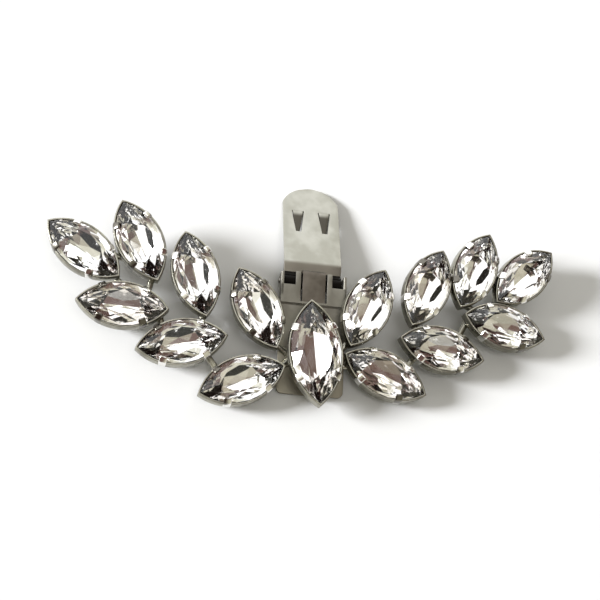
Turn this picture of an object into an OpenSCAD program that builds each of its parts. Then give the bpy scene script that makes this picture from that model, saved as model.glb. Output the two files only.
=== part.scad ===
// Jewelled clip-on shoe buckle, lying on a table with its clip open.
// Millimetres. The ornament is built in its own plane (x along it, y up it, z out of its face)
// and is then leaned back so that it rests on its open flap and on the two lowest cups.

/* [Stones] */
// Length of a wing stone, tip to tip. The whole spray follows it.
stone_length = 15; // [13:0.5:16.5]
// Width of a wing stone
stone_width = 7.5; // [6.4:0.1:7.8]
// Length of the centre stone
centre_length = 18; // [16:0.5:20]
// Width of the centre stone
centre_width = 8.8; // [8:0.1:9.3]
// Height of a stone above its girdle
crown_height = 1.5; // [1:0.1:2]
// Depth of a stone below its girdle
pavilion_depth = 2.6; // [2:0.1:2.7]
// Size of the flat table on top, as a share of the stone
table_share = 0.58; // [0.45:0.01:0.65]

/* [Cups] */
// Thickness of a cup's wall
cup_wall = 0.35; // [0.3:0.01:0.4]
// Depth of a cup below the stone's girdle
cup_depth = 3.4; // [3.2:0.1:3.6]
// Size of a cup's lower, narrower part, as a share of the cup
seat_share = 0.82; // [0.76:0.01:0.88]
// Width of a claw
claw_width = 1.35; // [1:0.05:1.6]
// Length of the bent tip of a claw
claw_reach = 1.25; // [0.9:0.05:1.4]
// How far the centre stone stands above the wing stones
centre_rise = 1.3; // [0.8:0.1:1.8]

/* [Spray] */
// How far the left wing's end bends back
left_bend = 1.3; // [0:0.1:3]
// How far the right wing's end bends back
right_bend = 2.8; // [0:0.1:3.2]
// Thickness of the solder bars between the cups
bar_width = 1.2; // [0.9:0.1:1.4]

/* [Clip] */
// Width of the clip's base plate
plate_width = 11.8; // [11.4:0.1:12.6]
// Thickness of the base plate
plate_thick = 0.6; // [0.5:0.05:0.65]
// How far the base plate reaches below the centre
plate_front = 6.5; // [5.5:0.1:7]
// Width of the spring tongue
tongue_width = 4.1; // [3.5:0.1:4.6]
// Width of the flap
flap_width = 10.4; // [9.8:0.1:10.5]
// Length of the flap from the pin to its tip
flap_length = 21.6; // [20:0.2:24]
// Thickness of the flap
flap_thick = 0.6; // [0.5:0.05:0.7]
// Space between the base plate and the closed flap
jaw_gap = 2.05; // [1.9:0.05:2.3]
// Angle of the open flap below the base plate
flap_drop = 20; // [17:1:26]
// Diameter of the hinge pin
pin_diameter = 1.0; // [0.8:0.05:1.1]

/* [Hidden] */
$fn = 96;
gap = 0.06;                       // between a stone and its cup
pin_gap = 0.05;                   // around the hinge pin
girdle = 0.2;                     // height of a stone's girdle band
collar_low = -1.8;                // the cup's collar, along z
collar_high = girdle / 2;
ledge = -1.45;                    // the step inside the cup, below the girdle
floor_thick = 0.5;
floor_hole = 0.55;                // share of the outline left open in the cup's floor
claw_thick = 0.45;
claw_place = 0.5;                 // share of the half length where the claws stand
rim_points = 16;                  // around a stone: its facets, and the points that find the middle

// The stones of a wing. out, up: centre of the stone in stone lengths; turn: degrees up from level
RIGHT_WING = [
    // out, up, turn
    [2.67, 1.15, 42],
    [2.02, 1.17, 66],
    [1.40, 0.90, 66],
    [0.65, 0.60, 65],
    [2.37, 0.49, -13],
    [1.55, 0.15, -12],
    [0.85, -0.19, -25],
];
LEFT_WING = [
    // out, up, turn
    [2.67, 1.17, 38],
    [2.03, 1.29, 66],
    [1.38, 0.91, 76],
    [0.66, 0.53, 65],
    [2.21, 0.51, 5],
    [1.53, 0.09, -10],
    [0.84, -0.33, -20],
];
// Solder bars. from, to: stones of one wing; along, across: shares of the half length and half width
BARS = [
    // from, along, across, to, along, across
    [1, -0.35, 0.55, 2, -0.30, -0.55],
    [1, -0.80, 0.00, 5, -0.25, 0.60],
    [2, -0.80, 0.00, 5, -0.50, 0.50],
    [5, -0.85, 0.00, 6, 0.35, 0.50],
    [3, -0.80, 0.00, 6, -0.50, 0.45],
    [6, -0.50, -0.40, 7, 0.35, 0.50],
];
// Solder bars from a stone of each wing to the base plate
PLATE_BARS = [
    // from, along, across, x and y on the plate as shares of its half width
    [4, -0.72, 0.00, 0.70, 0.10],
    [7, -0.60, 0.00, 0.70, -0.15],
];
centre_turn = 94;                 // the centre stone leans a little to the left
spray_turn = 3;                   // the spray is soldered to the plate a little askew
centre_seat = 0.76;               // its lower part, as a share of its cup
reach = RIGHT_WING[0][0] * stone_length;

// Levels of the clip, along z
plate_top = -cup_depth;
plate_bottom = plate_top - plate_thick;
hinge_step = 0.3;                 // the hinge end of the plate is stepped up by this
hinge_bottom = plate_bottom + hinge_step;
step_y = 10;
window_y = 13.4;
plate_end = 16;
slot_width = 0.34;                // the gap on each side of the tongue
slot_start = 0.4;                 // from the step to the slot
ear_thick = 0.5;
ear_root = 2.2;                   // how far the ears run forward along the plate
knuckle = pin_diameter / 2 + 0.7; // radius of the flap's rolled end
pin_y = 14.5;
pin_z = hinge_bottom - 0.25 - knuckle;
bridge = plate_width * 0.278;     // half width of the plate between its windows
roll_half = min(flap_width / 2, plate_width / 2 - ear_thick - 0.1); // half width of the rolled end
flap_low = jaw_gap - (plate_bottom - pin_z);   // the flap's inner face, from the pin
flap_high = flap_low + flap_thick;
heel = 3.2;                       // where the flap's flat part starts, from the pin
arch = 3.6;                       // height of the flap's rounded tip
tooth_place = 5.7;                // from the tip to the root of the teeth
tooth_length = 5;
tooth_angle = 16;

// An outline with two arcs that meet in points: radius and offset of its arcs
function arc_r(len, wid) = (len * len + wid * wid) / (4 * wid);
function arc_c(len, wid) = arc_r(len, wid) - wid / 2;
function arc_half(len, wid, grow) =
    sqrt(pow(arc_r(len, wid) + grow, 2) - pow(arc_c(len, wid), 2));
// Point at share t (0 to 4) around the outline, grown by grow
function rim(len, wid, t, grow = 0) =
    let (r = arc_r(len, wid) + grow, c = arc_c(len, wid),
         a = asin(arc_half(len, wid, grow) / r),
         s = t < 2 ? 1 : -1,
         b = a * (1 - (t % 2)) * s)
    [r * sin(b), s * (r * cos(b) - c)];

function rx(p, a) = [p.x, p.y * cos(a) - p.z * sin(a), p.y * sin(a) + p.z * cos(a)];
function ry(p, a) = [p.x * cos(a) + p.z * sin(a), p.y, -p.x * sin(a) + p.z * cos(a)];
function rz(p, a) = [p.x * cos(a) - p.y * sin(a), p.x * sin(a) + p.y * cos(a), p.z];

// side: 1 right, -1 left; n: the stone's number in its wing
function row(side, n) = side > 0 ? RIGHT_WING[n - 1] : LEFT_WING[n - 1];
function bend(side) = (side > 0 ? right_bend : left_bend) / (reach * reach);
function heading(side, n) = side > 0 ? row(side, n)[2] : 180 - row(side, n)[2];
function stone_x(side, n) = side * row(side, n)[0] * stone_length;
function stone_y(side, n) = row(side, n)[1] * stone_length;
function lean(side, n) = atan(2 * bend(side) * stone_x(side, n));
function level(side, n) = -bend(side) * pow(stone_x(side, n), 2);
// A point of stone n's own frame, in the spray's frame
function placed(side, n, p, rise = 0) =
    rz(ry(rz(p, heading(side, n)), lean(side, n))
       + [stone_x(side, n), stone_y(side, n), level(side, n) + rise], spray_turn);

// The stance: the open flap's tip and the bottoms of the two cups number 7 lie on the table
tip_y = pin_y + flap_length * cos(flap_drop) + flap_low * sin(flap_drop);
tip_z = pin_z - flap_length * sin(flap_drop) + flap_low * cos(flap_drop);
front_z = plate_bottom - 0.2;
tilt = atan2(front_z - tip_z, tip_y + plate_front);
table_z = rx([0, tip_y, tip_z], tilt).z;
function seat_points(side, n) = [for (t = [0 : 0.125 : 3.99])
    let (q = rim(stone_length, stone_width, t, gap + cup_wall) * seat_share)
    placed(side, n, [q.x, q.y, -cup_depth])];
function sink(side) =
    (table_z - min([for (p = seat_points(side, 7)) rx(p, tilt).z])) / cos(tilt);
function rise(side, n) = n == 7 ? sink(side) : 0;

// The whole part's middle on the table
cup_points = [for (side = [-1, 1]) for (n = [1 : 7]) for (i = [0 : rim_points - 1])
    for (z = [collar_low, collar_high])
    let (q = rim(stone_length, stone_width, i * 4 / rim_points, gap + cup_wall))
    rx(placed(side, n, [q.x, q.y, z], rise(side, n)), tilt)];
centre_tip = rx(rz([-arc_half(centre_length, centre_width, gap + cup_wall), 0, 0],
    centre_turn + spray_turn) + [0, 0, centre_rise + collar_high], tilt);
mid_x = (min([for (p = cup_points) p.x]) + max([for (p = cup_points) p.x])) / 2;
end_y = rx([0, tip_y + flap_thick * sin(flap_drop), tip_z + flap_thick * cos(flap_drop)], tilt).y;
mid_y = (min(concat([centre_tip.y], [for (p = cup_points) p.y]))
         + max(end_y, max([for (p = cup_points) p.y]))) / 2;

module on_table() {
    translate([-mid_x, -mid_y, -table_z]) rotate([tilt, 0, 0]) children();
}

module at_stone(side, n) {
    rotate([0, 0, spray_turn])
        translate([stone_x(side, n), stone_y(side, n), level(side, n) + rise(side, n)])
            rotate([0, lean(side, n), 0]) rotate([0, 0, heading(side, n)]) children();
}

module at_centre() {
    translate([0, 0, centre_rise]) rotate([0, 0, centre_turn + spray_turn]) children();
}

// A prism with the stone's outline, grown by grow, from z = low to z = high
module prism(len, wid, grow, low, high) {
    r = arc_r(len, wid) + grow;
    c = arc_c(len, wid);
    translate([0, 0, low]) intersection() {
        translate([0, c, 0]) cylinder(r = r, h = high - low);
        translate([0, -c, 0]) cylinder(r = r, h = high - low);
    }
}

// A claw at the wall, bent in over the stone. s and q say on which quarter of the stone it stands.
module claw(len, wid, s, q) {
    r = arc_r(len, wid);
    a = asin(claw_place * len / 2 / r);
    inset = (1 - table_share) * (r - arc_c(len, wid) * cos(a));
    slope = atan2(inset, crown_height - girdle / 2);
    translate([0, -q * arc_c(len, wid), 0]) rotate([0, 0, (q > 0 ? 0 : 180) - s * q * a])
        translate([-claw_width / 2, r, 0]) {
            translate([0, gap + 0.02, ledge + 0.05])
                cube([claw_width, claw_thick + 0.02, 0.25 - ledge - 0.05]);
            translate([0, (gap + 0.01) * cos(slope), girdle / 2 + (gap + 0.01) * sin(slope)])
                rotate([slope, 0, 0]) translate([0, 0, -0.15])
                    cube([claw_width, claw_thick, claw_reach + 0.15]);
        }
}

// The same with the whole outline shrunk to a share of itself
module small_prism(len, wid, share, low, high) {
    prism(len * share, wid * share, 0, low, high);
}

// An open cup: a collar round the stone's girdle, a narrower seat below it, and four claws
module cup(len, wid, depth, seat) {
    outer = gap + cup_wall;
    difference() {
        union() {
            prism(len, wid, outer, collar_low, collar_high);
            small_prism(2 * arc_half(len, wid, outer), wid + 2 * outer, seat, -depth, collar_low + 0.1);
        }
        prism(len, wid, gap, ledge, collar_high + 0.1);
        small_prism(len, wid, seat - 0.03, floor_thick - depth, ledge + 0.05);
        small_prism(len, wid, floor_hole, -depth - 1, 0);
    }
    for (s = [-1, 1]) for (q = [-1, 1]) claw(len, wid, s, q);
}

module bar(a, b) {
    d = b - a;
    translate(a) rotate([0, 0, atan2(d.y, d.x)]) rotate([0, atan2(norm([d.x, d.y]), d.z), 0])
        cylinder(d = bar_width, h = norm(d));
}

// A cut stone: table, crown, girdle band and pavilion with a point
module stone(len, wid) {
    rings = [
        // size, height, turn by half a facet
        [table_share, crown_height, 0.5],
        [1, girdle / 2, 0],
        [1, -girdle / 2, 0],
        [0.6, -pavilion_depth * 0.62, 0.5],
    ];
    n = rim_points;
    points = concat(
        [for (k = rings) for (i = [0 : n - 1])
            let (q = rim(len, wid, (i + k[2]) * 4 / n) * k[0]) [q.x, q.y, k[1]]],
        [[0, 0, -pavilion_depth]]);
    // rings that share a turn are joined by upright facets, others by leaning ones
    function band(a, b, f) = concat(
        [for (i = [0 : n - 1]) [a * n + i, b * n + (i + f) % n, a * n + (i + 1) % n]],
        [for (i = [0 : n - 1]) [a * n + (i + 1) % n, b * n + (i + f) % n, b * n + (i + f + 1) % n]]);
    polyhedron(points = points, faces = concat(
        [[for (i = [0 : n - 1]) i]],
        band(0, 1, 1), band(1, 2, 0), band(2, 3, 0),
        [for (i = [0 : n - 1]) [3 * n + i, 4 * n, 3 * n + (i + 1) % n]]));
}

// Extrudes a profile drawn in y and z over the width, centred on x = 0
module across(wide) {
    rotate([90, 0, 90]) translate([0, 0, -wide / 2]) linear_extrude(wide) children();
}

module rounded(wide, low, high, r) {
    translate([-wide / 2 + r, low]) square([wide - 2 * r, high - low]);
    translate([-wide / 2, low + r]) square([wide, high - low - r]);
    for (s = [-1, 1]) translate([s * (wide / 2 - r), low + r]) circle(r);
}

module base_plate() {
    difference() {
        union() {
            translate([0, 0, plate_bottom]) linear_extrude(plate_thick)
                rounded(plate_width, -plate_front, step_y, 1);
            translate([0, 0, hinge_bottom]) linear_extrude(plate_thick) {
                translate([-plate_width / 2, step_y - 0.5]) square([plate_width, window_y - step_y + 0.5]);
                translate([-bridge, step_y]) square([2 * bridge, plate_end - step_y]);
            }
        }
        for (s = [-1, 1]) translate([(s * (tongue_width + slot_width) - slot_width) / 2,
            step_y + slot_start, plate_bottom - plate_thick])
            cube([slot_width, plate_end - step_y, 3 * plate_thick + hinge_step]);
    }
    // the tongue's end turns down and stops the open flap
    across(tongue_width) polygon([
        [plate_end - 0.6, hinge_bottom + plate_thick], [plate_end + 0.2, hinge_bottom + plate_thick],
        [stop_y + 0.45, stop_z + 0.1], [stop_y, stop_z], [plate_end - 0.6, hinge_bottom]]);
    for (s = [-1, 1]) translate([s * (plate_width / 2 - ear_thick / 2), 0, 0]) ear();
}

// The flap's heel, in the flap's own frame, and where the tongue's end meets it
heel_low = flap_low - 1.0;
function from_flap(y, z) =
    [pin_y + y * cos(flap_drop) + z * sin(flap_drop), pin_z + z * cos(flap_drop) - y * sin(flap_drop)];
stop_point = from_flap(2.1, heel_low + flap_thick + 0.55);
stop_y = stop_point.x;
stop_z = stop_point.y;

module ear() {
    across(ear_thick) difference() {
        union() {
            translate([pin_y, pin_z]) circle(knuckle + 0.05);
            polygon([[window_y - ear_root, hinge_bottom + 0.05], [window_y - ear_root, hinge_bottom + plate_thick],
                [pin_y + knuckle, hinge_bottom + plate_thick], [pin_y + knuckle + 0.05, pin_z],
                [pin_y - knuckle + 0.2, pin_z - 0.7]]);
        }
        translate([pin_y, pin_z]) circle(pin_diameter / 2 + pin_gap);
    }
}

module spray_frame() {
    for (side = [-1, 1]) {
        for (n = [1 : 7]) at_stone(side, n) cup(stone_length, stone_width, cup_depth, seat_share);
        for (b = BARS) bar(bar_end(side, b[0], b[1], b[2]), bar_end(side, b[3], b[4], b[5]));
        for (b = PLATE_BARS) bar(bar_end(side, b[0], b[1], b[2]),
            [side * b[3] * plate_width / 2, b[4] * plate_width / 2, plate_top - 0.1]);
    }
    at_centre() cup(centre_length, centre_width, centre_rise + cup_depth + 0.1, centre_seat);
    base_plate();
}

function bar_end(side, n, along, across) = placed(side, n,
    [along * stone_length / 2, side * across * stone_width / 2, -cup_depth + 0.8], rise(side, n));

module clip_arm() {
    translate([0, pin_y, pin_z]) rotate([-flap_drop, 0, 0]) {
        translate([0, 0, flap_low]) linear_extrude(flap_thick) difference() {
            union() {
                r = (flap_width * flap_width / 4 + arch * arch) / (2 * arch);
                translate([-flap_width / 2, heel]) square([flap_width, flap_length - arch - heel]);
                intersection() {
                    translate([0, flap_length - r]) circle(r);
                    translate([-flap_width / 2, flap_length - arch - 0.1])
                        square([flap_width, arch + 1]);
                }
            }
            for (s = [-1, 1]) translate([s * tooth_x, flap_length - tooth_place]) tooth(0);
        }
        for (s = [-1, 1]) translate([s * tooth_x, flap_length - tooth_place, flap_low])
            rotate([tooth_angle, 0, 0]) linear_extrude(flap_thick) tooth(0.18);
        // the heel slopes down from the flat part towards the pin
        across(flap_width) polygon([[heel + 0.01, flap_low], [heel + 0.01, flap_high],
            [heel - 0.35, flap_high - 0.08], [1.75, heel_low + flap_thick + 0.1], [1.7, heel_low + 0.1],
            [1.9, heel_low]]);
        difference() {
            union() {
                rotate([0, 90, 0]) cylinder(r = knuckle, h = 2 * roll_half, center = true);
                across(2 * roll_half) polygon([[0, heel_low - 0.05], [0.2, heel_low + flap_thick + 0.2],
                    [1.8, heel_low + flap_thick + 0.1], [1.95, heel_low]]);
            }
            rotate([0, 90, 0])
                cylinder(d = pin_diameter + 2 * pin_gap, h = 2 * roll_half + 1, center = true);
        }
    }
}

tooth_x = flap_width * 0.235;
// A tooth's outline, from its root towards the pin; less: narrower by this on each side
module tooth(less) {
    polygon([[-1.15 + less, less > 0 ? 0.3 : 0], [1.15 - less, less > 0 ? 0.3 : 0],
        [0.5 - less / 2, -tooth_length + less], [-0.5 + less / 2, -tooth_length + less]]);
}

module hinge_pin() {
    translate([0, pin_y, pin_z]) rotate([0, 90, 0])
        cylinder(d = pin_diameter, h = plate_width + 0.6, center = true);
}

module wing_stone(side, n) {
    color([0.9, 0.92, 0.93]) on_table() at_stone(side, n) stone(stone_length, stone_width);
}

color([0.72, 0.72, 0.7]) on_table() spray_frame();
color([0.66, 0.67, 0.62]) on_table() clip_arm();
color([0.6, 0.6, 0.58]) on_table() hinge_pin();
color([0.9, 0.92, 0.93]) on_table() at_centre() stone(centre_length, centre_width);  // centre_stone
wing_stone(-1, 1);  // left_stone_1
wing_stone(-1, 2);  // left_stone_2
wing_stone(-1, 3);  // left_stone_3
wing_stone(-1, 4);  // left_stone_4
wing_stone(-1, 5);  // left_stone_5
wing_stone(-1, 6);  // left_stone_6
wing_stone(-1, 7);  // left_stone_7
wing_stone(1, 1);  // right_stone_1
wing_stone(1, 2);  // right_stone_2
wing_stone(1, 3);  // right_stone_3
wing_stone(1, 4);  // right_stone_4
wing_stone(1, 5);  // right_stone_5
wing_stone(1, 6);  // right_stone_6
wing_stone(1, 7);  // right_stone_7
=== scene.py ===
"""A jewelled clip-on shoe buckle, lying on a pale table with its clip open."""
import math
from functools import partial

import bmesh
import bpy
import numpy as np
from mathutils import Matrix, Vector


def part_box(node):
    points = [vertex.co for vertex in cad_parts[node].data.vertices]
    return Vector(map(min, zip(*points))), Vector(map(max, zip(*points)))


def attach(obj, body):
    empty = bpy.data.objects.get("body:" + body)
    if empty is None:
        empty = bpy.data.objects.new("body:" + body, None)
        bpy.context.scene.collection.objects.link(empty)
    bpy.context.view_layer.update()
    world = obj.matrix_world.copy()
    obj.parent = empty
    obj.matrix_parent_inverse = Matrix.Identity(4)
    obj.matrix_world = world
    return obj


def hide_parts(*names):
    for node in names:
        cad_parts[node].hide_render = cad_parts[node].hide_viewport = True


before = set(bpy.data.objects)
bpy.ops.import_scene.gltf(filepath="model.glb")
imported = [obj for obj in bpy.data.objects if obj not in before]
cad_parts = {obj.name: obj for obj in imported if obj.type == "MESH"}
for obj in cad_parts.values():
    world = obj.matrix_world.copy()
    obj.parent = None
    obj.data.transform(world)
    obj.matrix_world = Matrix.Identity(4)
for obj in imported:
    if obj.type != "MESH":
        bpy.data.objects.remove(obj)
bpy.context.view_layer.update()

# Sizes in millimetres, as in the part's source. The spray's frame has x along the ornament, y up
# it and z out of its face, and z = 0 at the girdles. Shares are of a stone's length and width.
STONE = (15.0, 7.5)                # length and width of a wing stone
CENTRE_STONE = (18.0, 8.8)
CROWN, PAVILION, GIRDLE = 1.5, 2.6, 0.2            # heights above, below and at the girdle
TABLE_SHARE = 0.58                 # the flat table on top
STAR_SHARE, STAR_RISE = 0.80, 0.62                 # tips of the star facets; share of the crown
SIDE_SHARE, CORNER_SHARE = 0.74, 0.60              # where the pavilion's facets break
BREAK_RISE = 0.5                   # that break above the keel, as a share of the pavilion
KEEL = 0.45                        # length of the keel
STONE_GAP = 0.06                   # between a stone and its cup
CUP_WALL, CUP_DEPTH = 0.35, 3.4
COLLAR, LEDGE = 1.80, 1.45         # depth of a cup's wide part, and of the step inside it
FLOOR, FLOOR_HOLE = 0.5, 0.55      # thickness of a cup's floor, and the share left open in it
SEAT_SHARE, CENTRE_SEAT = 0.82, 0.76               # a cup's lower, narrower part
CLAW_WIDTH, CLAW_REACH, CLAW_THICK = 1.35, 1.25, 0.45
CLAW_PLACE = 0.5                   # share of the half length where the claws stand
CENTRE_RISE, CENTRE_TURN = 1.3, 94.0
SPRAY_TURN = 3.0                   # the spray is soldered to the plate a little askew
BEND = {-1: 1.3, 1: 2.8}           # how far each wing's end bends back, left and right
LOWEST = 7                         # the stone of each wing whose cup touches the table
LOWERED = {-1: -0.105, 1: -0.510}  # how much it is set down for that, left and right
BAR, BAR_RISE, BAR_FLARE = 1.2, 0.8, 0.28          # rise: from the cups' bottoms
SUNK = 0.1                         # how deep bars and the centre cup go into the plate
PLATE_WIDTH, PLATE_THICK, PLATE_FRONT = 11.8, 0.6, 6.5
PLATE_ROUND, PLATE_CLEAR = 1.0, 0.2                # front corners; front edge above the table
TONGUE, SLOT, SLOT_START = 4.1, 0.34, 0.4
HINGE_STEP, STEP_Y, WINDOW_Y, PLATE_END = 0.3, 10.0, 13.4, 16.0
EAR_THICK, EAR_ROOT = 0.5, 2.2
FLAP_WIDTH, FLAP_LENGTH, FLAP_THICK, FLAP_DROP = 10.4, 21.6, 0.6, 20.0
HEEL, HEEL_DROP, ARCH, JAW_GAP = 3.2, 1.0, 3.6, 2.05
TOOTH_PLACE, TOOTH_LENGTH, TOOTH_ANGLE = 5.7, 5.0, 16.0
PIN, PIN_GAP, PIN_END = 1.0, 0.05, 0.3             # end: how far it stands out of an ear
EDGE = 0.12                        # rounding of a sheet's edges

KNUCKLE = PIN / 2 + 0.7            # radius of the flap's rolled end
PLATE_LOW = -CUP_DEPTH - PLATE_THICK
PLATE_Z = -CUP_DEPTH - PLATE_THICK / 2             # middle of the base plate's sheet
HINGE_Z = PLATE_Z + HINGE_STEP
PIN_Y = 14.5
PIN_Z = HINGE_Z - PLATE_THICK / 2 - 0.25 - KNUCKLE
BRIDGE = PLATE_WIDTH * 0.278       # half width of the plate between its windows
HALF_ROLL = min(FLAP_WIDTH / 2, PLATE_WIDTH / 2 - EAR_THICK - 0.1)     # it clears the ears
FLAP_Z = JAW_GAP - (PLATE_LOW - PIN_Z) + FLAP_THICK / 2      # middle of the flap's sheet
HEEL_Z = FLAP_Z - HEEL_DROP
TOOTH_X = FLAP_WIDTH * 0.235
TOOTH_ROOT = FLAP_LENGTH - TOOTH_PLACE

# The stones of a wing: centre in stone lengths, and the turn up from level in degrees
RIGHT_WING = [
    # out, up, turn
    [2.67, 1.15, 42],
    [2.02, 1.17, 66],
    [1.40, 0.90, 66],
    [0.65, 0.60, 65],
    [2.37, 0.49, -13],
    [1.55, 0.15, -12],
    [0.85, -0.19, -25],
]
LEFT_WING = [
    # out, up, turn
    [2.67, 1.17, 38],
    [2.03, 1.29, 66],
    [1.38, 0.91, 76],
    [0.66, 0.53, 65],
    [2.21, 0.51, 5],
    [1.53, 0.09, -10],
    [0.84, -0.33, -20],
]
WING = {-1: LEFT_WING, 1: RIGHT_WING}
REACH = RIGHT_WING[0][0] * STONE[0]                # how far out a wing's end is
# Solder bars between two stones of one wing, at shares of the half length and half width
BARS = [
    # from, along, across, to, along, across
    [1, -0.35, 0.55, 2, -0.30, -0.55],
    [1, -0.80, 0.00, 5, -0.25, 0.60],
    [2, -0.80, 0.00, 5, -0.50, 0.50],
    [5, -0.85, 0.00, 6, 0.35, 0.50],
    [3, -0.80, 0.00, 6, -0.50, 0.45],
    [6, -0.50, -0.40, 7, 0.35, 0.50],
]
# Solder bars from a stone of each wing to the base plate
PLATE_BARS = [
    # from, along, across, x and y on the plate as shares of its half width
    [4, -0.72, 0.00, 0.70, 0.10],
    [7, -0.60, 0.00, 0.70, -0.15],
]

# Lights: azimuth 0 is in front and 90 to the right; spread is a light's breadth in degrees
LIGHTS = [
    # name, azimuth, elevation, power, spread, colour
    ["key", -88, 22, 6.6, 17, (0.965, 0.975, 1.0)],
    ["over", 20, 70, 0.36, 30, (1.0, 1.0, 1.0)],
    ["back", 150, 38, 0.20, 30, (0.96, 0.98, 1.0)],
]
# The sky that polished things see, from 0 opposite its bright side to 1 in the middle of it
BRIGHT_SIDE = (-135, 20)           # azimuth and elevation
SKY = [
    # place, colour
    (0.0, (0.42, 0.40, 0.31)),
    (0.22, (0.34, 0.32, 0.25)),
    (0.30, (0.10, 0.06, 0.05)),
    (0.52, (0.07, 0.042, 0.036)),
    (0.60, (0.35, 0.33, 0.255)),
    (0.67, (0.52, 0.505, 0.42)),
    (0.74, (0.80, 0.80, 0.77)),
    (0.78, (1.0, 1.0, 1.0)),
]


# Places

def turned(points, axis, degrees):
    """Points turned about an axis through the origin."""
    turn = np.array(Matrix.Rotation(math.radians(degrees), 3, axis))
    return points @ turn.T


def stance():
    """The lean that sets the open flap's tip on the table, with the plate's front just above."""
    drop = math.radians(FLAP_DROP)
    low = FLAP_Z - FLAP_THICK / 2
    tip_y = PIN_Y + FLAP_LENGTH * math.cos(drop) + low * math.sin(drop)
    tip_z = PIN_Z - FLAP_LENGTH * math.sin(drop) + low * math.cos(drop)
    front_z = PLATE_LOW - PLATE_CLEAR
    return math.degrees(math.atan2(front_z - tip_z, tip_y + PLATE_FRONT))


TILT = stance()
# The buckle lies where the frame has its hinge pin
PIN_PLACE = (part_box("hinge_pin")[0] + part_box("hinge_pin")[1]) / 2
SHIFT = np.array(PIN_PLACE) * 1000 - turned(np.array([0, PIN_Y, PIN_Z]), "X", TILT)


def on_table(points):
    """Leans points of the spray's frame back and sets them on the table, in metres."""
    return (turned(points, "X", TILT) + SHIFT) / 1000


def in_wing(points, side, number):
    """Points of a wing stone's own frame, in the spray's frame: a turn, a lean and the bend
    z = -bend * x * x of the wing. Side is -1 on the left and 1 on the right."""
    out, up, turn = WING[side][number - 1]
    bend = BEND[side] / REACH ** 2
    x, y = side * out * STONE[0], up * STONE[0]
    rise = LOWERED[side] if number == LOWEST else 0
    points = turned(points, "Z", turn if side > 0 else 180 - turn)
    points = turned(points, "Y", math.degrees(math.atan(2 * bend * x)))
    return turned(points + [x, y, rise - bend * x * x], "Z", SPRAY_TURN)


def in_centre(points):
    """Points of the centre stone's own frame, in the spray's frame."""
    return turned(points, "Z", CENTRE_TURN + SPRAY_TURN) + [0, 0, CENTRE_RISE]


def in_flap(points):
    """Points of the flap's frame (y from the pin to the tip), in the spray's frame."""
    return turned(points, "X", -FLAP_DROP) + [0, PIN_Y, PIN_Z]


# Shapes

def arcs(length, width):
    """Radius of the two arcs of a navette, and how far their centres are off its middle."""
    radius = (length ** 2 + width ** 2) / (4 * width)
    return radius, radius - width / 2


def rim(size, t, grow=0.0):
    """Points around a navette: t runs from 0 to 4, tips at 0 and 2, on two arcs of one radius."""
    radius, offset = arcs(*size)
    radius = radius + grow
    half = np.arcsin(np.sqrt(radius ** 2 - offset ** 2) / radius)
    side = np.where(t % 4 < 2, 1, -1)
    angle = half * (1 - t % 2) * side
    return np.stack([radius * np.sin(angle), side * (radius * np.cos(angle) - offset)], -1)


def net(points, wrap_rows=False, wrap_columns=False, caps=False):
    """Vertices and faces of a grid of points (rows, columns, 3). Rows and columns may close on
    themselves, and the first and last row may be capped."""
    rows, columns = points.shape[:2]
    index = np.arange(rows * columns).reshape(rows, columns)
    a = index if wrap_rows else index[:-1]
    b = np.roll(index, -1, 0) if wrap_rows else index[1:]
    if wrap_columns:
        a2, b2 = np.roll(a, -1, 1), np.roll(b, -1, 1)
    else:
        a, a2, b, b2 = a[:, :-1], a[:, 1:], b[:, :-1], b[:, 1:]
    faces = np.stack([a, a2, b2, b], -1).reshape(-1, 4).tolist()
    if caps:
        faces += [index[0][::-1].tolist(), index[-1].tolist()]
    return points.reshape(-1, 3), faces


def piece(name, parts, materials, body, stands_for, crease=35, slots=None):
    """One object from several surfaces. parts: (vertices in metres, faces); stands_for: the
    part's nodes that it shows; crease: the angle past which an edge stays sharp; slots: the
    number of each face's material."""
    vertices, faces, start = [], [], 0
    for points, polygons in parts:
        vertices.append(points)
        faces += [[start + i for i in polygon] for polygon in polygons]
        start += len(points)
    mesh = bpy.data.meshes.new(name)
    mesh.from_pydata(np.concatenate(vertices).tolist(), [], faces)
    for material in materials:
        mesh.materials.append(material)
    if slots is not None:
        mesh.polygons.foreach_set("material_index", slots)
    if crease:
        mesh.shade_smooth()
        mesh.set_sharp_from_angle(angle=math.radians(crease))
    mesh.update()
    thing = bpy.data.objects.new(name, mesh)
    bpy.context.scene.collection.objects.link(thing)
    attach(thing, body)
    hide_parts(*stands_for)
    return thing


def outward(thing):
    """Turns a piece's faces outwards."""
    work = bmesh.new()
    work.from_mesh(thing.data)
    bmesh.ops.recalc_face_normals(work, faces=work.faces)
    work.to_mesh(thing.data)
    work.free()


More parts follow.
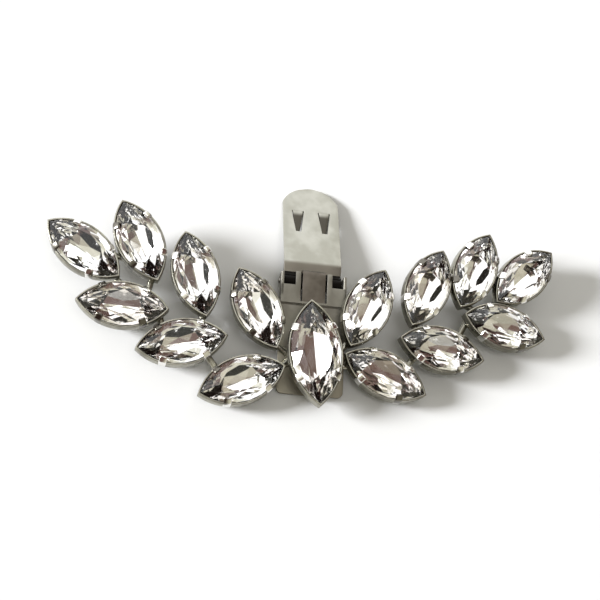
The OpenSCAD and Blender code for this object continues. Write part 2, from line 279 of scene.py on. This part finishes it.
def cut_stone(size):
    """A navette cut. Above the girdle band: an eight-sided table, eight star facets, eight kites
    and sixteen girdle facets. Below it: sixteen girdle facets, two long side facets, each on one
    plane z = |y| / b - depth, that meet in a keel, and four end facets. Returns vertices, faces
    and a 1 for each face that is foiled."""
    k = np.arange(8)
    table = np.c_[rim(size, k / 2) * TABLE_SHARE, np.full(8, CROWN)]
    star = np.c_[rim(size, k / 2 + 0.25) * STAR_SHARE, np.full(8, CROWN * STAR_RISE)]
    top = np.c_[rim(size, np.arange(16) / 4), np.full(16, GIRDLE / 2)]
    bottom = top * [1, 1, -1]
    flat = rim(size, k / 2) * np.array([SIDE_SHARE, CORNER_SHARE])[k % 2][:, None]
    aside = np.where(k % 4, np.abs(flat[:, 1]) * 2 / size[1] / SIDE_SHARE, 1)
    deep = np.c_[flat, PAVILION * (BREAK_RISE * aside - 1)]
    keel_end = size[0] * KEEL / 2
    keel = np.array([[keel_end, 0, -PAVILION], [-keel_end, 0, -PAVILION]])
    vertices = np.concatenate([table, star, top, bottom, deep, keel])
    # numbers of the vertices: table T, star S, girdle G above and B below, deep D, keel K and L
    T, S, G, B, D = k, 8 + k, 16 + 2 * k, 32 + 2 * k, 48 + k
    K, L = 56, 57
    G1, B1 = G + 1, B + 1
    T2, S0, G2, B2, D2 = (np.roll(x, s) for x, s in ((T, -1), (S, 1), (G, -1), (B, -1), (D, -1)))
    ring = 16 + np.arange(16)
    ring2 = np.roll(ring, -1)
    crown = [T[None, :]] + [np.stack(f, -1) for f in (
        (T, S, T2), (T, S0, G, S), (S, G, G1), (S, G1, G2))]
    band = [np.stack((ring, ring + 16, ring2 + 16, ring2), -1)]
    pavilion = [np.stack(f, -1) for f in ((B, D, B1), (B1, D, D2), (B1, D2, B2))]
    pavilion += [np.array([[K, L, D[3], D[2], D[1]], [L, K, D[7], D[6], D[5]]]),
                 np.array([[K, D[1], D[0]], [K, D[0], D[7]], [L, D[4], D[3]], [L, D[5], D[4]]])]
    faces = [row for group in crown + band + pavilion for row in group.tolist()]
    foiled = [0] * sum(map(len, crown + band)) + [1] * sum(map(len, pavilion))
    return vertices, faces, foiled


def cup_shell(size, depth, seat):
    """A cup: its wall's section, a closed loop of (share, grow, height), carried around the
    navette: collar, rolled lip, ledge, narrower seat and an open floor."""
    steps, lip = 96, 0.10
    t = np.arange(0, 4, 4 / steps)
    outer, inner = STONE_GAP + CUP_WALL, seat - 0.03
    low, floor, hole = -depth, FLOOR - depth, FLOOR_HOLE
    section = [
        # share, grow, height
        [1, outer, 0.08 - COLLAR], [1, outer, -0.06], [1, outer - 0.05, 0.05],
        [1, outer - 0.14, lip], [1, STONE_GAP + 0.12, lip], [1, STONE_GAP + 0.03, 0.05],
        [1, STONE_GAP, -0.05], [1, STONE_GAP, 0.07 - LEDGE], [0.98, 0, -LEDGE],
        [inner + 0.03, 0, -LEDGE], [inner, 0, -0.08 - LEDGE], [inner, 0, floor + 0.1],
        [inner - 0.03, 0, floor], [hole + 0.02, 0, floor], [hole, 0, floor - 0.06],
        [hole, 0, low + 0.06], [hole + 0.02, 0, low], [seat - 0.04, outer, low],
        [seat - 0.01, outer, low + 0.05], [seat, outer, low + 0.16], [seat, outer, -COLLAR],
        [seat + 0.03, outer, -COLLAR], [0.975, outer, -COLLAR],
    ]
    rings = np.stack([np.c_[rim(size, t, grow) * share, np.full(len(t), z)]
                      for share, grow, z in section])
    return net(rings, wrap_rows=True, wrap_columns=True)


def claw(size, s, q):
    """A claw: a rounded strip up the cup's wall, bent in over the crown. Its middle line runs
    up, round the bend and along the crown's slope; s and q say on which quarter it stands."""
    radius, offset = arcs(*size)
    angle = math.asin(CLAW_PLACE * size[0] / 2 / radius)
    inset = (1 - TABLE_SHARE) * (radius - offset * math.cos(angle))
    slope = math.atan2(inset, CROWN - GIRDLE / 2)
    half = CLAW_THICK / 2
    out = STONE_GAP + 0.02 + half
    foot, bend_radius, bend_length = -1.4, 0.34, 0.28
    bend = np.linspace(0, slope, 7)[:, None]
    centre = np.array([out - bend_radius, 0.02])
    arc = centre + bend_radius * np.concatenate([np.cos(bend), np.sin(bend)], 1)
    along = np.array([-math.sin(slope), math.cos(slope)])
    run = CLAW_REACH - bend_length
    tip = arc[-1] + along * np.array([0.3, 0.7, 0.9, 0.97, 1.0])[:, None] * run
    line = np.concatenate([[[out, foot], [out, foot / 2]], arc, tip])
    way = np.gradient(line, axis=0)
    way /= np.linalg.norm(way, axis=1, keepdims=True)
    normal = np.stack([way[:, 1], -way[:, 0]], -1)
    taper = np.array([
        # half width and half thickness at the last four points, as shares
        [0.98, 1.0], [0.92, 0.92], [0.80, 0.75], [0.55, 0.4]])
    half_size = np.full((len(line), 2), [CLAW_WIDTH / 2, half])
    half_size[-len(taper):] *= taper
    width, thick = half_size[:, :1], half_size[:, 1:]
    a = np.linspace(0, 2 * np.pi, 20, endpoint=False)
    square = 3.2                     # superellipse: a rectangle with soft corners
    u = np.sign(np.cos(a)) * np.abs(np.cos(a)) ** (2 / square)
    w = np.sign(np.sin(a)) * np.abs(np.sin(a)) ** (2 / square)
    rings = np.stack([
        width * u,
        radius + line[:, :1] + normal[:, :1] * thick * w,
        line[:, 1:] + normal[:, 1:] * thick * w], -1)
    points, faces = net(rings, wrap_columns=True, caps=True)
    turn = (0 if q > 0 else 180) - s * q * math.degrees(angle)
    return turned(points, "Z", turn) + [0, -q * offset, 0], faces


def rod(start, end, radius, flare=0.0, dome=0.0, steps=20):
    """A round rod from start to end: circles along a line, thicker at both ends by the share
    flare, as solder is, and domed over the share dome of its length at each end."""
    start, end = np.array(start, float), np.array(end, float)
    s = np.concatenate([[0, 0.01, 0.03, 0.06], np.linspace(0.1, 0.9, 12), [0.94, 0.97, 0.99, 1]])
    fillet, blunt = 0.16, 0.94       # length of a flare, and how far a dome closes
    size = radius * (1 + flare * (np.exp(-(s / fillet) ** 2) + np.exp(-((1 - s) / fillet) ** 2)))
    if dome:
        edge = np.minimum(s, 1 - s) / dome
        size = size * np.sqrt(1 - np.clip(1 - edge, 0, blunt) ** 2)
    way = Vector(end - start).normalized()
    turn = np.array(way.to_track_quat("Z", "Y").to_matrix())
    a = np.linspace(0, 2 * np.pi, steps, endpoint=False)
    circle = np.stack([np.cos(a), np.sin(a), 0 * a], -1) @ turn.T
    rings = start + s[:, None, None] * (end - start) + size[:, None, None] * circle
    return net(rings, wrap_columns=True, caps=True)


def barrel(inner, outer, half):
    """A tube along x with rounded rims: its wall's section carried round the axis."""
    soft, softer = 0.06, 0.12        # rounding inside and outside
    section = np.array([
        # radius, x
        [inner, soft - half], [inner + soft, -half], [outer - softer, -half],
        [outer, softer - half], [outer, half - softer], [outer - softer, half],
        [inner + soft, half], [inner, half - soft]])
    radius, x = section[:, :1], section[:, 1:]
    a = np.linspace(0, 2 * np.pi, 48, endpoint=False)
    rings = np.stack([x + 0 * a, radius * np.cos(a), radius * np.sin(a)], -1)
    return net(rings, wrap_rows=True, wrap_columns=True)


def pressed_sheet(x, y, z, keep):
    """A pressed sheet: a grid of its middle surface, x(row, column) with y and z of each row,
    without the cells where keep is false. It gets its thickness and rounded edges as
    modifiers."""
    rows, columns = x.shape
    points = np.stack([x, np.broadcast_to(y[:, None], x.shape),
                       np.broadcast_to(z[:, None], x.shape)], -1)
    index = np.arange(rows * columns).reshape(rows, columns)
    cells = np.stack([index[:-1, :-1], index[:-1, 1:], index[1:, 1:], index[1:, :-1]], -1)
    cells = cells[keep]
    used, new = np.unique(cells, return_inverse=True)
    return points.reshape(-1, 3)[used], new.reshape(cells.shape).tolist()


def thicken(thing, thick, edge):
    """Gives a sheet its thickness and rounds its edges, both in millimetres."""
    solid = thing.modifiers.new("thickness", "SOLIDIFY")
    solid.thickness = thick / 1000
    solid.offset = 0
    solid.use_even_offset = True
    soft = thing.modifiers.new("edges", "BEVEL")
    soft.width = edge / 1000
    soft.segments = 3
    soft.limit_method = "ANGLE"
    soft.angle_limit = math.radians(40)
    soft.harden_normals = False


# Finishes

class Signal:
    """An output socket that takes part in sums. Numbers and other signals both work."""

    def __init__(self, finish, socket):
        self.finish, self.socket = finish, socket

    def _sum(self, operation, first, second):
        return self.finish.node("ShaderNodeMath", {"operation": operation}, {0: first, 1: second})

    def __add__(self, other): return self._sum("ADD", self, other)
    def __radd__(self, other): return self._sum("ADD", other, self)
    def __sub__(self, other): return self._sum("SUBTRACT", self, other)
    def __rsub__(self, other): return self._sum("SUBTRACT", other, self)
    def __mul__(self, other): return self._sum("MULTIPLY", self, other)
    def __rmul__(self, other): return self._sum("MULTIPLY", other, self)

    def between(self, low, high):
        """0 below low, 1 above high, smooth between."""
        return self.finish.node(
            "ShaderNodeMapRange", {"interpolation_type": "SMOOTHSTEP"},
            {"Value": self, "From Min": low, "From Max": high})

    def out(self, name):
        """Another output of the same node."""
        return Signal(self.finish, self.socket.node.outputs[name])


class Nodes:
    """The node tree of a material or of the world, and the one way to add a node to it."""

    def __init__(self, owner):
        owner.use_nodes = True
        self.owner, self.tree = owner, owner.node_tree
        self.tree.nodes.clear()
        self.coordinates = self.node("ShaderNodeTexCoord")
        self.place = self.coordinates.out("Object")

    def node(self, kind, settings=None, values=None):
        """Adds a node: first its settings, then the values or links of its sockets. Returns
        its first output in use."""
        node = self.tree.nodes.new(kind)
        for key, value in (settings or {}).items():
            if key == "stops":
                ramp = node.color_ramp
                while len(ramp.elements) < len(value):
                    ramp.elements.new(0.5)
                for element, (position, colour) in zip(ramp.elements, value):
                    element.position, element.color = position, (*colour, 1)
            else:
                setattr(node, key, value)
        for key, value in (values or {}).items():
            socket = node.inputs[key]
            if isinstance(value, Signal):
                self.tree.links.new(value.socket, socket)
            elif isinstance(value, tuple) and len(value) == 3 and socket.type == "RGBA":
                socket.default_value = (*value, 1)
            else:
                socket.default_value = value
        live = [s for s in node.outputs if s.enabled]
        return Signal(self, live[0]) if live else None

    def noise(self, scale, detail=3.0, stretch=(1, 1, 1)):
        """Noise in the object's own place: scale is grains per millimetre, and stretch makes
        the grain finer along an axis where it is above 1."""
        place = self.node("ShaderNodeMapping", None, {
            "Vector": self.place, "Scale": tuple(1000 * scale * s for s in stretch)})
        return self.node("ShaderNodeTexNoise", None, {
            "Vector": place, "Scale": 1.0, "Detail": detail, "Roughness": 0.55})

    def height(self, way, start):
        """How far a point lies from start along a direction, in millimetres."""
        way = np.array(way) / np.linalg.norm(way)
        along = self.node("ShaderNodeVectorMath", {"operation": "DOT_PRODUCT"},
                          {0: self.place, 1: tuple(way)})
        return along * 1000 - float(way @ np.array(start)) * 1000

    def blend(self, share, first, second):
        """A colour: the first where share is 0, the second where it is 1."""
        mix = self.node("ShaderNodeMix", {"data_type": "RGBA"}, {
            "Factor": share, 6: first, 7: second})
        return Signal(self, [s for s in mix.socket.node.outputs if s.type == "RGBA"][0])

    def bump(self, height, strength, distance):
        return self.node("ShaderNodeBump", None, {
            "Strength": strength, "Distance": distance / 1000, "Height": height})

    def surface(self, **values):
        """The shader itself, joined to the output. Returns the material."""
        names = {key.replace("_", " "): value for key, value in values.items()}
        shader = self.node("ShaderNodeBsdfPrincipled", None, names)
        self.node("ShaderNodeOutputMaterial", None, {"Surface": shader})
        return self.owner


def finish(name):
    return Nodes(bpy.data.materials.new(name))


def cast_plate(name, light, dull, rough, shade_patch=None):
    """Bright plate over a casting: faint clouds of a duller tone, small ripples, and patches of
    a darker colour painted as shade, if there is one."""
    f = finish(name)
    cloud = f.noise(0.35)
    fine = f.noise(4.0, 2.0)
    colour = f.blend(cloud.between(0.35, 0.7), light, dull)
    if shade_patch:
        colour = f.blend(f.noise(0.17, 1.0).between(0.50, 0.55), colour, shade_patch)
    return f.surface(
        Base_Color=colour, Metallic=1.0,
        Roughness=rough + 0.12 * cloud.between(0.4, 0.75) + 0.05 * fine,
        Normal=f.bump(fine + 0.6 * cloud, 0.35, 0.03))


def satin_nickel(name, painted_shade, dark=(0.20, 0.185, 0.155), light=(0.45, 0.445, 0.40),
                 dull=(0.36, 0.355, 0.31)):
    """The clip's sheet: satin nickel, from light to dull in soft clouds, with drawn lines along
    its length and fine pits. It is painted in the dark colour, as shade, where the shade mask,
    a function of the nodes, rises to 1."""
    f = finish(name)
    drawn = f.noise(1.0, 4.0, stretch=(6.0, 0.35, 1.0))
    cloud = f.noise(0.2, 3.0)
    pits = f.noise(7.0, 2.0)
    colour = f.blend(cloud.between(0.35, 0.65), light, dull)
    colour = f.blend(painted_shade(f), colour, dark)
    return f.surface(
        Base_Color=colour, Metallic=1.0,
        Roughness=0.42 + 0.06 * cloud.between(0.35, 0.7) + 0.06 * drawn,
        Normal=f.bump(drawn + 0.5 * pits, 0.25, 0.015))


def shade_under_spray(f):
    """Painted shade on the base plate's front part, under the spray: full 1 mm before the
    spray's middle and gone 10 mm behind it."""
    return 1 - f.height((0, 1, 0), on_table(np.zeros(3))).between(-1.0, 10.0)


def shade_beside_pin(f):
    """Painted shade around the hinge pin, out to the flap's heel, for the hinge's shadowed recess.
    """
    pin = on_table(np.array([0, PIN_Y, PIN_Z]))
    y, z = f.height((0, 1, 0), pin), f.height((0, 0, 1), pin)
    return 1 - (y * y + z * z).between(3.5 ** 2, 4.3 ** 2)


def shade_down_the_tooth(f):
    """Painted shade inside the opening of a tooth, from just below its root."""
    root = on_table(in_flap(np.array([0, TOOTH_ROOT, FLAP_Z])))
    lower = on_table(in_flap(np.array([0, TOOTH_ROOT - 1, FLAP_Z])))
    return f.height(lower - root, root).between(0.3, 1.1)


def spring_steel():
    """The spring tongue: brown-grey tempered strip, drawn along its length."""
    f = finish("tongue_metal")
    drawn = f.noise(1.0, 4.0, stretch=(5.0, 0.4, 1.0))
    cloud = f.noise(0.4, 2.0)
    colour = f.blend(cloud.between(0.3, 0.7), (0.145, 0.128, 0.108), (0.10, 0.087, 0.073))
    return f.surface(
        Base_Color=colour, Metallic=1.0, Roughness=0.36 + 0.10 * drawn,
        Normal=f.bump(drawn, 0.3, 0.02))


def steel_wire():
    """The hinge pin: dark drawn wire with fine rings from its turning in the ears."""
    f = finish("pin_metal")
    rings = f.noise(3.0, 2.0, stretch=(4.0, 0.4, 0.4))
    colour = f.blend(rings.between(0.3, 0.7), (0.26, 0.25, 0.23), (0.14, 0.13, 0.12))
    return f.surface(
        Base_Color=colour, Metallic=1.0, Roughness=0.26 + 0.14 * rings,
        Normal=f.bump(rings, 0.3, 0.02))


def crystal():
    """Clear cut glass with faint polishing haze."""
    f = finish("stone_glass")
    haze = f.noise(1.2, 3.0)
    return f.surface(
        Base_Color=(1.0, 1.0, 1.0), Roughness=0.015 * haze.between(0.45, 0.8),
        IOR=1.58, Transmission_Weight=1.0, Normal=f.bump(haze, 0.02, 0.01))


def foil():
    """The silvered back of a stone: mirror foil, warmer where the lacquer behind it is thin."""
    f = finish("stone_foil")
    patch = f.noise(0.16, 1.0)
    colour = f.blend(patch.between(0.42, 0.66), (0.97, 0.97, 0.965), (0.92, 0.895, 0.87))
    return f.surface(Base_Color=colour, Metallic=1.0, Roughness=0.03 + 0.05 * patch)


# The cups and solder bars: the claws' metal in a much darker colour, as painted shade for the
# shadowed rims round the stones.
CUP = cast_plate("cup_metal", (0.38, 0.37, 0.315), (0.22, 0.21, 0.175), 0.22)
# The claws: random patches painted dark, as shade on claws that catch no light.
CLAW = cast_plate("claw_metal", (0.92, 0.91, 0.89), (0.82, 0.81, 0.78), 0.10, (0.16, 0.15, 0.13))
# The plate and ears: the flap's nickel in darker colours, as painted shade under the spray, with
# deeper painted shade towards the plate's front.
SHADED_NICKEL = satin_nickel("clip_metal", shade_under_spray, (0.27, 0.25, 0.20), (0.23, 0.22, 0.19),
                      (0.17, 0.16, 0.135))
# The flap: painted darker round the hinge pin, as shade in the hinge's recess.
FLAP = satin_nickel("flap_metal", shade_beside_pin)
# The barrel and its web: painted near black round the pin, as shade in the hinge's recess.
ROLL = satin_nickel("roll_metal", shade_beside_pin, (0.008, 0.007, 0.006))
# The teeth: painted dark below their roots, as shade inside the openings.
TEETH = satin_nickel("teeth_metal", shade_down_the_tooth, (0.10, 0.092, 0.078))
TONGUE_STEEL, WIRE, CRYSTAL, FOIL = spring_steel(), steel_wire(), crystal(), foil()


# The buckle

def add_stone(name, size, place):
    """A cut stone with its foil behind."""
    points, faces, foiled = cut_stone(size)
    stone = piece(f"{name}_cut", [(on_table(place(points)), faces)], [CRYSTAL, FOIL], "spray",
                  [name], crease=0, slots=foiled)
    outward(stone)


def add_cup(name, size, depth, seat, place):
    """A cup with its four claws."""
    parts = [cup_shell(size, depth, seat)]
    parts += [claw(size, s, q) for s in (-1, 1) for q in (-1, 1)]
    slots = [0] * len(parts[0][1]) + [1] * sum(len(faces) for _, faces in parts[1:])
    cup = piece(name, [(on_table(place(points)), faces) for points, faces in parts],
                [CUP, CLAW], "spray", ["spray_frame"], slots=slots)
    outward(cup)


def bar_end(side, number, along, across):
    """A point low on a cup's wall, where a solder bar starts."""
    point = [along * STONE[0] / 2, side * across * STONE[1] / 2, BAR_RISE - CUP_DEPTH]
    return in_wing(np.array(point), side, number)


def add_bars():
    """The solder bars, all in one piece."""
    rods = []
    for side in (-1, 1):
        for a, x, y, b, x2, y2 in BARS:
            rods.append(rod(bar_end(side, a, x, y), bar_end(side, b, x2, y2), BAR / 2, BAR_FLARE))
        for a, x, y, plate_x, plate_y in PLATE_BARS:
            end = np.array([side * plate_x, plate_y]) * PLATE_WIDTH / 2
            rods.append(rod(bar_end(side, a, x, y), [*end, -CUP_DEPTH - SUNK], BAR / 2, BAR_FLARE))
    bars = piece("solder_bars", [(on_table(p), f) for p, f in rods], [CUP], "spray",
                 ["spray_frame"])
    outward(bars)


def add_base_plate():
    """The base plate: front, step, hinge end with its two windows, and the spring tongue whose
    end turns down."""
    half, tongue = PLATE_WIDTH / 2, TONGUE / 2
    right = [tongue / 3, tongue, tongue + SLOT, BRIDGE, BRIDGE + 0.6, half - 0.9, half]
    columns = np.array([-x for x in reversed(right)] + right)
    corner = np.linspace(0, np.pi / 2, 7)
    front = PLATE_ROUND * (1 - np.cos(corner)) - PLATE_FRONT
    profile = np.array([
        # y, z of the sheet's middle
        [-PLATE_FRONT, PLATE_Z], [STEP_Y - 0.25, PLATE_Z], [STEP_Y + 0.1, HINGE_Z],
        [PLATE_END - 0.5, HINGE_Z], [PLATE_END - 0.1, HINGE_Z - 0.1],
        [PLATE_END + 0.15, HINGE_Z - 0.4], [PLATE_END + 0.32, HINGE_Z - 0.9],
        [PLATE_END + 0.45, HINGE_Z - 1.9]])
    flat = [-2.5, 2, 6, STEP_Y - 0.35, STEP_Y - 0.12, STEP_Y + 0.12, STEP_Y + SLOT_START, 12,
            WINDOW_Y, 14.8]
    y = np.concatenate([front, flat, profile[3:, 0]])
    z = np.interp(y, *profile.T)
    width = np.ones(len(y))
    width[:len(front)] = 1 - PLATE_ROUND * (1 - np.sin(corner)) / half
    rows_y, cells_x = (y[:-1] + y[1:]) / 2, (columns[:-1] + columns[1:]) / 2
    Y, X = np.meshgrid(rows_y, np.abs(cells_x), indexing="ij")
    behind = Y > STEP_Y + SLOT_START
    slot = (X > tongue) & (X < tongue + SLOT) & behind
    window = (X > BRIDGE) & (Y > WINDOW_Y)
    beyond = (X > tongue) & (Y > PLATE_END)
    keep = ~(slot | window | beyond)
    sprung = ((X < tongue) & behind)[keep]
    points, faces = pressed_sheet(columns * width[:, None], y, z, keep)
    plate = piece("base_plate", [(on_table(points), faces)], [SHADED_NICKEL, TONGUE_STEEL], "spray",
                  ["spray_frame"], slots=sprung.astype(int))
    thicken(plate, PLATE_THICK, EDGE)


def add_ears():
    """The two hinge ears: an outline round the pin and up to the plate, with the pin's hole."""
    a = np.linspace(0, 2 * np.pi, 64, endpoint=False)
    around = np.stack([np.cos(a), np.sin(a)], -1)
    radius = KNUCKLE + 0.05
    top = HINGE_Z + PLATE_THICK / 2 - PIN_Z
    front = PIN_Y - WINDOW_Y + EAR_ROOT
    # the outline's reach along each ray from the pin: the circle's radius below; above, the
    # nearer of the plate's top, top / up, and the ear's end, radius / back or front / -back
    reach = np.full(len(a), radius)
    above = around[:, 1] > 0.02
    back, up = around[above].T
    tiny = 1e-6
    aside = np.where(back > 0, radius / np.maximum(back, tiny), front / np.maximum(-back, tiny))
    reach[above] = np.minimum(top / up, aside)
    outline = around * reach[:, None]
    hole = around * (PIN / 2 + PIN_GAP)
    half, soft = EAR_THICK / 2, 0.06
    section = [
        # loop, shrink, x
        (outline, soft, -half), (outline, 0, 0.07 - half), (outline, 0, half - 0.07),
        (outline, soft, half), (hole, -0.05, half), (hole, 0, half - soft),
        (hole, 0, soft - half), (hole, -0.05, -half),
    ]
    parts = []
    for side in (-1, 1):
        middle = side * (PLATE_WIDTH / 2 - half)
        rings = []
        for loop, shrink, x in section:
            flat = loop * (1 - shrink / np.linalg.norm(loop, axis=1, keepdims=True))
            rings.append(np.c_[np.full(len(a), middle + x), flat + [PIN_Y, PIN_Z]])
        parts.append(net(np.stack(rings), wrap_rows=True, wrap_columns=True))
    ears = piece("hinge_ears", [(on_table(p), f) for p, f in parts], [SHADED_NICKEL], "spray",
                 ["spray_frame"])
    outward(ears)


def add_pin():
    """The hinge pin, domed at both ends, which stand out of the ears."""
    half = PLATE_WIDTH / 2 + PIN_END
    ends = [-half, PIN_Y, PIN_Z], [half, PIN_Y, PIN_Z]
    points, faces = rod(*ends, PIN / 2, dome=0.02, steps=32)
    pin = piece("pin_wire", [(on_table(points), faces)], [WIRE], "spray",
                ["hinge_pin"])
    outward(pin)


def add_flap():
    """The flap's sheet: a rounded tip, two tooth openings, a flat part and the heel that slopes
    down to the pin."""
    half = FLAP_WIDTH / 2
    tooth_tip = TOOTH_ROOT - TOOTH_LENGTH
    radius = (half ** 2 + ARCH ** 2) / (2 * ARCH)
    slope = np.array([
        # y, z from the flat part
        [1.8, -HEEL_DROP], [2.1, -0.85], [HEEL - 0.2, -0.24], [HEEL, -0.1], [HEEL + 0.2, -0.02],
        [HEEL + 0.5, 0]])
    flat = [6, 8.5, tooth_tip, tooth_tip + 1.6, tooth_tip + 3.3, TOOTH_ROOT,
            FLAP_LENGTH - ARCH - 1]
    tip = FLAP_LENGTH - ARCH * np.cos(np.linspace(0, 1, 13) * np.pi / 2)
    y = np.concatenate([slope[:2, 0], [2.4, 2.7], slope[2:, 0], flat, tip])
    z = FLAP_Z + np.interp(y, *slope.T)
    last = 0.35                      # half width of the tip's last row
    arch = np.sqrt(np.maximum(radius ** 2 - (y - FLAP_LENGTH + radius) ** 2, last ** 2))
    wide = np.where(y > FLAP_LENGTH - ARCH, arch, half)
    at_root, at_tip = 1.15, 0.50     # half width of a tooth's opening
    cut = at_root - (at_root - at_tip) * np.clip((TOOTH_ROOT - y) / TOOTH_LENGTH, 0, 1)
    scale = wide / half
    x = np.stack([-wide, -(TOOTH_X + cut) * scale, -(TOOTH_X - cut) * scale, 0 * y,
                  (TOOTH_X - cut) * scale, (TOOTH_X + cut) * scale, wide], 1)
    rows = (y[:-1] + y[1:]) / 2
    keep = np.ones((len(y) - 1, 6), bool)
    keep[np.ix_((rows > tooth_tip) & (rows < TOOTH_ROOT), [1, 4])] = False
    points, faces = pressed_sheet(x, y, z, keep)
    flap = piece("flap_sheet", [(on_table(in_flap(points)), faces)], [FLAP], "flap",
                 ["clip_arm"])
    thicken(flap, FLAP_THICK, EDGE)


def add_teeth():
    """The two teeth: tapered strips that bend out of the flap at their root."""
    steps, overlap = 8, 0.1
    s = np.linspace(0, 1, steps + 1)
    bend = np.radians(TOOTH_ANGLE) * np.clip(s * 4, 0, 1)
    way = np.stack([-np.cos(bend), -np.sin(bend)], -1) * (TOOTH_LENGTH - overlap) / steps
    line = np.concatenate([[[0, 0]], np.cumsum(way[1:], 0)]) + [TOOTH_ROOT + overlap, FLAP_Z]
    edge = 0.97 - 0.60 * s
    parts = []
    for side in (-1, 1):
        x = np.stack([side * TOOTH_X + edge * k for k in (-1, -0.33, 0.33, 1)], 1)
        parts.append(pressed_sheet(x, *line.T, np.ones((steps, 3), bool)))
    teeth = piece("flap_teeth", [(on_table(in_flap(p)), f) for p, f in parts], [TEETH], "flap",
                  ["clip_arm"])
    thicken(teeth, FLAP_THICK - 0.04, 0.08)


def add_roll():
    """The flap's rolled end: the barrel round the pin, and the web from it to the heel."""
    points, faces = barrel(PIN / 2 + PIN_GAP, KNUCKLE, HALF_ROLL)
    roll = piece("flap_barrel", [(on_table(in_flap(points)), faces)], [ROLL], "flap",
                 ["clip_arm"])
    outward(roll)
    profile = np.array([
        # y, z from 0.2 below the heel's sheet
        [0.7, 0.75], [1.5, 0.36], [2.05, 0.28]])
    y = np.array([0.7, 1.1, 1.5, 1.9, 2.05])
    z = np.interp(y, *profile.T) + HEEL_Z - 0.2
    x = np.broadcast_to(np.linspace(-HALF_ROLL, HALF_ROLL, 5), (5, 5))
    points, faces = pressed_sheet(x, y, z, np.ones((4, 4), bool))
    web = piece("flap_web", [(on_table(in_flap(points)), faces)], [ROLL], "flap",
                ["clip_arm"])
    thicken(web, FLAP_THICK, 0.1)


def add_buckle():
    for side, word in ((-1, "left"), (1, "right")):
        for number in range(1, len(WING[side]) + 1):
            place = partial(in_wing, side=side, number=number)
            add_stone(f"{word}_stone_{number}", STONE, place)
            add_cup(f"{word}_cup_{number}", STONE, CUP_DEPTH, SEAT_SHARE, place)
    add_stone("centre_stone", CENTRE_STONE, in_centre)
    add_cup("centre_cup", CENTRE_STONE, CENTRE_RISE + CUP_DEPTH + SUNK, CENTRE_SEAT, in_centre)
    add_bars()
    add_base_plate()
    add_ears()
    add_pin()
    add_flap()
    add_teeth()
    add_roll()


add_buckle()


# Table, light and camera

def table_top():
    """A pale table, faintly uneven in tone."""
    f = finish("table_white")
    cloud = f.noise(0.01, 2.0)
    colour = f.blend(cloud.between(0.3, 0.7), (0.84, 0.84, 0.84), (0.82, 0.82, 0.82))
    material = f.surface(Base_Color=colour, Roughness=0.55, Specular_IOR_Level=0.3)
    half = 1.5                       # metres
    corners = [(-half, -half, 0), (half, -half, 0), (half, half, 0), (-half, half, 0)]
    mesh = bpy.data.meshes.new("table")
    mesh.from_pydata(corners, [], [(0, 1, 2, 3)])
    mesh.materials.append(material)
    table = bpy.data.objects.new("table", mesh)
    bpy.context.scene.collection.objects.link(table)


def toward(azimuth, elevation):
    """A unit vector from the buckle: azimuth 0 is in front and 90 to the right."""
    a, e = math.radians(azimuth), math.radians(elevation)
    return Vector((math.sin(a) * math.cos(e), -math.cos(a) * math.cos(e), math.sin(e)))


def soft_light(name, azimuth, elevation, power, spread, colour):
    """A soft light from far off, so that the table is lit evenly."""
    place = toward(azimuth, elevation)
    light = bpy.data.lights.new(name, "SUN")
    light.energy, light.angle, light.color = power, math.radians(spread), colour
    lamp = bpy.data.objects.new(name, light)
    lamp.location = place
    lamp.rotation_euler = (-place).to_track_quat("-Z", "Y").to_euler()
    bpy.context.scene.collection.objects.link(lamp)


def studio():
    """A soft key low on the left, two weak lights, and a sky. Polished things see the sky
    brighten towards the back left and darken in front; matt things see it even and dim; the
    camera sees it white."""
    for row in LIGHTS:
        soft_light(*row)
    sky = Nodes(bpy.data.worlds.new("studio"))
    facing = sky.node("ShaderNodeVectorMath", {"operation": "DOT_PRODUCT"},
                      {0: sky.coordinates.out("Generated"), 1: tuple(toward(*BRIGHT_SIDE))})
    tone = sky.node("ShaderNodeValToRGB", {"stops": SKY}, {"Fac": facing * 0.5 + 0.5})
    path = sky.node("ShaderNodeLightPath")

    def background(colour, strength):
        return sky.node("ShaderNodeBackground", None, {"Color": colour, "Strength": strength})

    polished, matt = background(tone, 1.55), background((1.0, 0.96, 0.82), 0.31)
    seen = sky.node("ShaderNodeMixShader", None, {
        0: path.out("Is Diffuse Ray"), 1: polished, 2: matt})
    seen = sky.node("ShaderNodeMixShader", None, {
        0: path.out("Is Camera Ray"), 1: seen, 2: background((1.0, 1.0, 1.0), 1.0)})
    sky.node("ShaderNodeOutputWorld", None, {"Surface": seen})
    bpy.context.scene.world = sky.owner
    bpy.context.scene.view_settings.view_transform = "Standard"


def camera():
    """The photograph's viewing angle, found from the ends of the stones."""
    aim = Vector((-0.0009, -0.0018, 0.003))
    azimuth, elevation, distance, roll = -19.6, 59.5, 0.254, 22.9
    eye = aim + distance * toward(azimuth, elevation)
    lens = bpy.data.cameras.new("camera")
    lens.lens, lens.sensor_width, lens.clip_start = 86.0, 36.0, 0.01
    view = bpy.data.objects.new("camera", lens)
    turn = (aim - eye).to_track_quat("-Z", "Y").to_matrix().to_4x4()
    view.matrix_world = Matrix.Translation(eye) @ turn @ Matrix.Rotation(math.radians(roll), 4, "Z")
    bpy.context.scene.collection.objects.link(view)
    bpy.context.scene.camera = view


table_top()
studio()
camera()
